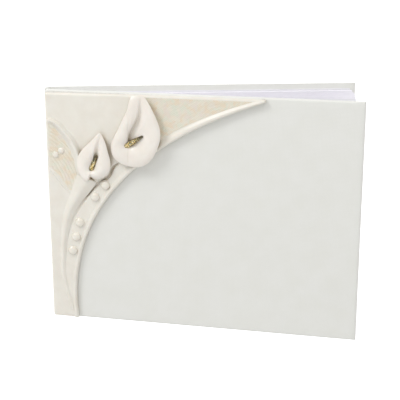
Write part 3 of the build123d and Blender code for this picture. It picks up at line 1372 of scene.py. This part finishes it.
        piece = surface("upper_pearl_carving", 240, 80, carved)
        close_under(piece, self.top - 0.4)
        return settle(piece, FRONT_SHEET, 70.0)

    def left_panel(self) -> Object:
        """Model the carved panel between the two ribs, with feather veins."""
        near, far = self.left_sides
        high_line = drawn_through(
            (
                (2.6, 152.0), (8.6, 147.9), (13.3, 141.6), (17.8, 135.2), (20.9, 127.9),
                (24.0, 117.0),
            ),
            80,
        )
        low_line = drawn_through(
            ((2.6, 118.4), (7.4, 114.0), (12.0, 108.2), (17.6, 101.8), (24.0, 101.0)), 60
        )

        def carved(s: float, t: float) -> Place:
            """Return a point of the panel, with veins that sweep like a feather."""
            u = near + (far - near) * s
            low = float(np.interp(u, low_line[:, 0], low_line[:, 1]))
            high = float(np.interp(u, high_line[:, 0], high_line[:, 1]))
            v = low + (high - low) * t
            bend = 0.5 * noise.noise(Vector((u / 6.0, v / 6.0, 9.0)))
            sweep = math.hypot(u + 26.0, v - 96.0) + bend
            vein = 1.0 - abs(math.sin(math.pi * sweep / 2.4))
            inside = smooth(min((v - low) / 1.5, (high - v) / 1.5, (u - near) / 1.2))
            rise = 0.32 * vein**1.6 - 0.1
            return u, v, self.top + 0.02 + (0.08 + rise) * inside

        piece = surface("left_pearl_carving", 90, 130, carved)
        close_under(piece, self.top - 0.4)
        return settle(piece, FRONT_SHEET, 70.0)

    def build(self) -> None:
        """Model the casting and dress it."""
        dress(self.slab(), IVORY_RESIN, Body.FRONT, "plaque_base")
        dress(self.rim(), IVORY_RESIN, Body.FRONT, "arc_rim")
        for ridge in self.ridges:
            dress(ridge.model(), IVORY_RESIN, Body.FRONT, ridge.node)
        dress(self.upper_panel(), PEARL, Body.FRONT, "upper_pearl_panel")
        dress(self.left_panel(), PEARL, Body.FRONT, "left_pearl_panel")
        log.info("plaque: slab, rim, %d ridges and two carved panels", len(self.ridges))


# ------------------------------------------------------------------ flowers
@dataclass(frozen=True)
class Lip:
    """How a flower's surface runs from its throat in one direction."""

    turn: float
    crest: float
    high: float
    edge: float
    sweep: float


@dataclass
class Calla:
    """A calla lily: a spathe rolled round its throat, and its spadix."""

    name: str
    centre: Point
    outline: tuple[Point, ...]
    lips: tuple[Lip, ...]
    fold: float
    fold_shift: tuple[Point, ...]
    spadix_from: Place
    spadix_to: Place
    root_radius: float
    tip_radius: float
    floor: float = 0.9
    base: float = 3.0
    foot_size: float = 0.78
    turns: int = 168
    rings: int = 40
    head_v: float = 174.6
    fold_spread: float = 26.0
    florets: int = 150
    floret_reach: float = 0.55
    floret_rise: float = 0.22
    around: np.ndarray = field(init=False)
    reach: np.ndarray = field(init=False)

    def __post_init__(self) -> None:
        """Work out how far the outline lies from the throat all round."""
        line = drawn_through(self.outline, 600, closed=True) - np.array(self.centre)
        around = np.arctan2(line[:, 1], line[:, 0])
        order = np.argsort(around)
        self.around = around[order]
        self.reach = np.hypot(line[:, 0], line[:, 1])[order]

    def radius(self, angle: float) -> float:
        """Return how far the outline lies from the throat in a direction."""
        return float(np.interp(angle, self.around, self.reach, period=2 * math.pi))

    def directions(self) -> np.ndarray:
        """Return the directions of the columns in degrees, closer at the fold."""
        start, stop = self.lips[0].turn, self.lips[-1].turn
        even = np.linspace(start, stop, 2000)
        density = 1.0 + 5.0 * np.exp(-(((even - self.fold) / 7.0) ** 2))
        density += 3.0 * np.exp(-(((even - stop) / 3.0) ** 2))
        share = np.cumsum(density)
        share = (share - share[0]) / (share[-1] - share[0])
        return np.interp(np.linspace(0, 1, self.turns + 1), share, even)

    def lip_at(self, turn: float) -> Lip:
        """Return the lip's values in a direction, between the ones that are given."""
        turns = [lip.turn for lip in self.lips]
        values = [
            float(np.interp(turn, turns, [getattr(lip, key) for lip in self.lips]))
            for key in ("crest", "high", "edge", "sweep")
        ]
        return Lip(turn, *values)

    def spathe(self) -> Object:
        """Model the spathe as one skin: throat, lip, rolled edge and back."""
        columns = self.directions()
        inner = 30
        last = self.lips[0].turn + 360.0

        def skin(s: float, t: float) -> Place:
            """Return a point of the inside up to the lip, or of the back."""
            turn = float(columns[round(s * self.turns)])
            lip = self.lip_at(self.lips[0].turn if turn > last - 0.01 else turn)
            ring = round(t * self.rings)
            if ring <= inner:
                rho = (ring / inner) ** 1.15
                if rho < lip.crest:
                    climb = math.sin(math.pi / 2 * rho / lip.crest) ** lip.sweep
                    level = self.floor + (lip.high - self.floor) * climb
                else:
                    over = (rho - lip.crest) / (1.0 - lip.crest)
                    level = lip.high - (lip.high - lip.edge) * over**2
            else:
                back = (ring - inner) / (self.rings - inner)
                rho = 1.0 - 0.03 * smooth(back * 4) - (0.97 - self.foot_size) * back**0.7
                level = lip.edge * (1.0 - back) ** 1.3 - 0.2 * back - 0.25 * smooth(back * 4)
            slide = between(self.fold_shift, rho)
            shifted = turn + slide * math.exp(-(((turn - self.fold) / self.fold_spread) ** 2))
            angle = math.radians(shifted)
            far = self.radius(angle) * rho
            u = self.centre[0] + far * math.cos(angle)
            v = self.centre[1] + far * math.sin(angle)
            level += 0.12 * noise.noise(Vector((u / 7.0, v / 7.0, 4.4))) * smooth(rho * 3)
            return u, min(v, self.head_v), self.base + level

        piece = surface(f"{self.name}_spathe_skin", self.turns, self.rings, skin)
        weld(piece, 0.002)
        cap(piece)
        modify(piece, "SMOOTH", factor=0.5, iterations=2)
        return settle(piece, FRONT_SHEET, 75.0)

    def spadix(self) -> Object:
        """Model the spadix: a tapered rod set all over with small round florets."""
        start, stop = Vector(self.spadix_from), Vector(self.spadix_to)
        axis = (stop - start).normalized()
        side = axis.cross(Vector((0, 0, 1))).normalized()
        rise = side.cross(axis)
        length = (stop - start).length
        turns, rings = 40, 90
        golden = math.pi * (3.0 - math.sqrt(5.0))
        count = self.florets
        seeds = np.array([((k + 0.5) / count * length, k * golden) for k in range(count)])

        def rod(s: float, t: float) -> Place:
            """Return a point of the rod with the nearest floret raised."""
            angle = 2.0 * math.pi * s
            reach = length * t
            taper = self.root_radius + (self.tip_radius - self.root_radius) * t**1.3
            ends = math.sqrt(max(0.0, 1.0 - (1.0 - min(1.0, (1.0 - t) / 0.05)) ** 2))
            ends *= math.sqrt(max(0.0, 1.0 - (1.0 - min(1.0, t / 0.05)) ** 2))
            gap = (angle - seeds[:, 1] + math.pi) % (2 * math.pi) - math.pi
            near = np.hypot(gap * taper, seeds[:, 0] - reach).min()
            bump = self.floret_rise * max(0.0, 1.0 - (near / self.floret_reach) ** 2)
            radius = (taper + bump) * ends
            place = start + axis * reach
            place += (side * math.cos(angle) + rise * math.sin(angle)) * radius
            return place.x, place.y, place.z

        piece = surface(f"{self.name}_spadix_rod", turns, rings, rod)
        weld(piece, 0.002)
        return settle(piece, FRONT_SHEET, 60.0)

    def build(self) -> None:
        """Model the flower and dress it."""
        dress(self.spathe(), FLOWER_RESIN, Body.FRONT, f"{self.name}_spathe")
        dress(self.spadix(), GLITTER, Body.FRONT, f"{self.name}_spadix")
        log.info("%s: spathe and spadix", self.name)


LARGE_CALLA = Calla(
    "large_calla",
    (64.0, 139.0),
    (
        (75.4, 174.4), (80.2, 169.4), (84.2, 162.2), (87.2, 155.5), (88.5, 150.0), (88.1, 143.2),
        (85.6, 135.8), (81.8, 129.2), (76.6, 124.4), (71.8, 122.7), (66.8, 122.7), (61.4, 123.6),
        (56.8, 125.5), (53.0, 128.6), (51.2, 133.4), (51.0, 138.4), (52.9, 143.0), (56.2, 149.0),
        (59.2, 155.2), (62.4, 161.2), (65.0, 167.4), (66.4, 173.6),
    ),
    (
        Lip(-90.0, 0.62, 5.4, 4.4, 0.8),
        Lip(-60.0, 0.68, 5.7, 4.4, 0.85),
        Lip(-30.0, 0.78, 6.1, 4.8, 1.0),
        Lip(0.0, 0.86, 6.5, 5.5, 1.3),
        Lip(30.0, 0.90, 6.7, 5.8, 1.6),
        Lip(55.0, 0.90, 6.3, 5.3, 1.9),
        Lip(68.0, 0.92, 5.0, 4.3, 2.4),
        Lip(76.0, 0.95, 4.2, 3.8, 2.8),
        Lip(79.5, 0.70, 5.8, 4.2, 0.7),
        Lip(86.0, 0.66, 6.5, 4.0, 0.6),
        Lip(105.0, 0.62, 6.4, 3.8, 0.6),
        Lip(130.0, 0.62, 6.2, 3.4, 0.6),
        Lip(180.0, 0.66, 6.0, 3.2, 0.6),
        Lip(230.0, 0.62, 5.8, 3.8, 0.7),
        Lip(270.0, 0.62, 5.7, 4.4, 0.75),
    ),
    fold=78.0,
    fold_shift=(
        (0.0, 18.0), (0.11, 15.0), (0.22, 4.0), (0.38, -4.5), (0.57, -8.5), (0.75, -6.0),
        (0.92, -3.0), (1.0, -2.0),
    ),
    spadix_from=(61.4, 137.2, 5.0),
    spadix_to=(75.3, 145.9, 8.0),
    root_radius=2.1,
    tip_radius=0.55,
)

SMALL_CALLA = Calla(
    "small_calla",
    (36.2, 119.2),
    (
        (43.3, 146.5), (45.6, 143.2), (47.5, 138.4), (49.0, 132.2), (50.5, 126.0), (50.1, 119.9),
        (47.2, 115.2), (43.2, 112.3), (39.6, 111.4), (36.6, 112.0), (34.7, 112.9), (33.2, 109.6),
        (30.4, 110.4), (27.2, 113.4), (25.2, 117.6), (24.7, 122.4), (25.7, 127.8), (28.6, 132.6),
        (33.0, 137.2), (37.2, 141.2), (41.2, 145.4),
    ),
    (
        Lip(-105.0, 0.50, 4.6, 2.4, 0.8),
        Lip(-50.0, 0.50, 5.1, 3.0, 0.8),
        Lip(0.0, 0.56, 5.4, 3.2, 0.9),
        Lip(35.0, 0.60, 5.5, 3.4, 1.0),
        Lip(55.0, 0.64, 5.2, 3.6, 1.3),
        Lip(67.0, 0.85, 4.2, 3.6, 2.2),
        Lip(73.0, 0.90, 3.9, 3.5, 2.4),
        Lip(79.0, 0.66, 5.2, 3.5, 1.1),
        Lip(100.0, 0.55, 5.5, 3.2, 0.9),
        Lip(150.0, 0.50, 5.3, 3.0, 0.8),
        Lip(200.0, 0.50, 5.1, 2.8, 0.8),
        Lip(248.0, 0.54, 5.6, 3.4, 0.8),
        Lip(255.0, 0.52, 5.0, 2.8, 0.8),
    ),
    fold=74.0,
    fold_shift=((0.0, 2.0), (1.0, 0.0)),
    spadix_from=(34.7, 118.2, 4.8),
    spadix_to=(40.7, 129.9, 7.2),
    root_radius=1.85,
    tip_radius=0.5,
)


# ------------------------------------------------------------------ beads
@dataclass
class Beads:
    """Half-round beads of one size, cast in the plaque's surface."""

    node: str
    places: tuple[Point, ...]
    radius: float
    sink: float = 0.8
    flare: float = 0.45
    base: float = 3.0

    def bead(self) -> Object:
        """Model one bead by turning its outline round its own axis."""
        reach = math.sqrt(self.radius**2 - self.sink**2)

        def dome(s: float, t: float) -> Place:
            """Return a point of the half-round or of its flared foot."""
            turn = 2.0 * math.pi * s
            if t < 0.8:
                angle = math.pi / 2 * t / 0.8
                out = reach * math.sin(angle)
                level = (self.radius - self.sink) * math.cos(angle) ** 0.9
            else:
                share = (t - 0.8) / 0.2
                out = reach + self.flare * share
                level = 0.12 * (1.0 - share) ** 2 - 0.1 * share
            dent = 1.0 + 0.02 * noise.noise(Vector((math.cos(turn), math.sin(turn), t * 2)))
            return out * math.cos(turn) * dent, out * math.sin(turn) * dent, self.base + level

        piece = surface("bead", 40, 20, dome)
        weld(piece)
        cap(piece)
        return piece

    def build(self) -> None:
        """Model the beads as copies of one, and dress them."""
        first = self.bead()
        row = [copied(first, (u, v, 0.0)) for u, v in self.places]
        bpy.data.objects.remove(first)
        whole = joined(f"{self.node}_domes", row)
        settle(whole, FRONT_SHEET, 60.0)
        dress(whole, BEAD_RESIN, Body.FRONT, self.node)
        log.info("%s: %d beads", self.node, len(self.places))


# ------------------------------------------------------------------ kept nodes
@dataclass
class KeptNodes:
    """The nodes whose shape is already right, which only need their finish."""

    finishes: dict[str, Finish] = field(
        default_factory=lambda: {
            "front_cover_board": GREYBOARD,
            "back_cover_board": GREYBOARD,
            "spine_board": GREYBOARD,
            "spine_lining": MULL,
            "head_band": BAND_COTTON,
            "tail_band": BAND_COTTON,
            "plaque_tape": FOAM_TAPE,
        }
    )

    def build(self) -> None:
        """Put each node's finish in its material slots."""
        for name, finish in self.finishes.items():
            node = frame["nodes"][name]
            if not node.data.materials:
                node.data.materials.append(finish.material())
            for place in node.material_slots:
                place.material = finish.material()
        log.info("kept nodes: %s", ", ".join(self.finishes))


# ------------------------------------------------------------------ studio
@dataclass
class Studio:
    """The white table, the soft lights and the camera."""

    floor_size: float = 12.0
    camera_place: Place = (-0.0539, -0.7398, 0.3060)
    camera_turn: Place = (73.46, 0.0, -4.06)
    lens: float = 90.9
    lights: tuple[tuple[str, Place, Place, float, float], ...] = (
        ("key_softbox", (-0.95, -0.5, 1.1), (0.0, 0.0, 0.08), 0.5, 6.9),
        ("front_softbox", (0.1, -1.1, 1.6), (0.0, 0.0, 0.08), 1.4, 5.7),
        ("back_softbox", (-0.6, 1.6, 1.0), (0.0, 0.0, 0.08), 1.2, 5.0),
    )
    sky: float = 0.71
    table_glow: float = 0.6

    def floor(self) -> None:
        """Lay the table's top: matt white acrylic, lit a little from below."""
        deselect()
        bpy.ops.mesh.primitive_plane_add(size=self.floor_size)
        table = bpy.context.object
        table.name = "studio_table"
        made = bpy.data.materials.new("lit_white_acrylic")
        made.use_nodes = True
        shader = made.node_tree.nodes["Principled BSDF"]
        shader.inputs["Base Color"].default_value = linear("FBFBFB")
        shader.inputs["Roughness"].default_value = 0.9
        shader.inputs["Specular IOR Level"].default_value = 0.1
        shader.inputs["Emission Color"].default_value = (1.0, 1.0, 1.0, 1.0)
        shader.inputs["Emission Strength"].default_value = self.table_glow
        table.data.materials.append(made)
        table.visible_diffuse = False

    def backdrop(self) -> None:
        """Stand a lit white screen all round, far outside the camera's view."""
        deselect()
        bpy.ops.mesh.primitive_uv_sphere_add(segments=48, ring_count=24, radius=self.floor_size / 2)
        screen = bpy.context.object
        screen.name = "studio_backdrop"
        made = bpy.data.materials.new("lit_white_screen")
        made.use_nodes = True
        shader = made.node_tree.nodes["Principled BSDF"]
        shader.inputs["Base Color"].default_value = (0.0, 0.0, 0.0, 1.0)
        shader.inputs["Specular IOR Level"].default_value = 0.0
        shader.inputs["Emission Color"].default_value = (1.0, 1.0, 1.0, 1.0)
        shader.inputs["Emission Strength"].default_value = 1.0
        screen.data.materials.append(made)
        screen.visible_diffuse = screen.visible_glossy = False
        screen.visible_shadow = screen.visible_transmission = False

    def light(self, name: str, place: Place, target: Place, size: float, power: float) -> None:
        """Hang a square softbox that looks at a target.

        Args:
            name: the light's name.
            place: where it hangs, in metres.
            target: the point that it looks at.
            size: its side in metres.
            power: its power in watts.
        """
        deselect()
        bpy.ops.object.light_add(type="AREA", location=place)
        lamp = bpy.context.object
        lamp.name = name
        lamp.data.size = size
        lamp.data.energy = power
        aim = Vector(target) - Vector(place)
        lamp.rotation_euler = aim.to_track_quat("-Z", "Y").to_euler()

    def build(self) -> None:
        """Set up the table, the lights, the sky and the camera."""
        self.floor()
        self.backdrop()
        for light in self.lights:
            self.light(*light)
        world = bpy.data.worlds.new("studio_sky")
        bpy.context.scene.world = world
        world.use_nodes = True
        world.node_tree.nodes["Background"].inputs["Color"].default_value = (1, 1, 1, 1)
        world.node_tree.nodes["Background"].inputs["Strength"].default_value = self.sky
        bpy.context.scene.view_settings.view_transform = "Standard"
        deselect()
        bpy.ops.object.camera_add(location=self.camera_place)
        camera = bpy.context.object
        camera.rotation_euler = [math.radians(angle) for angle in self.camera_turn]
        camera.data.lens = self.lens
        camera.data.clip_start = 0.01
        camera.data.clip_end = 100.0
        bpy.context.scene.camera = camera
        log.info("studio: table, %d softboxes and camera", len(self.lights))


def main() -> None:
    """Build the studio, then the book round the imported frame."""
    logging.basicConfig(level=logging.INFO, format="%(message)s")
    noise.seed_set(7)
    Studio().build()
    front = Cover(
        "front_cover", Body.FRONT, FRONT_SHEET, FRONT_CLOTH, 3.8, 3.2, 1.1, 0.12, end_share=0.4
    )
    back = Cover("back_cover", Body.BACK, BACK_SHEET, BACK_CLOTH, 2.9, 0.9, 0.9, softness=0.03)
    front.build("front_cover_cloth", "front_cover_padding", "front_pastedown")
    back.build("back_cover_cloth", "back_pastedown")
    Spine().build(front, back)
    TextBlock().build()
    Plaque().build()
    LARGE_CALLA.build()
    SMALL_CALLA.build()
    Beads(
        "arc_pearls", ((45.2, 106.8), (37.0, 97.5), (24.6, 77.0), (21.4, 65.6), (18.4, 54.6)), 3.6,
        sink=1.1,
    ).build()
    Beads("left_pearls", ((8.0, 127.8), (12.2, 131.1)), 2.7, sink=1.3).build()
    KeptNodes().build()


if __name__ == "__main__":
    main()
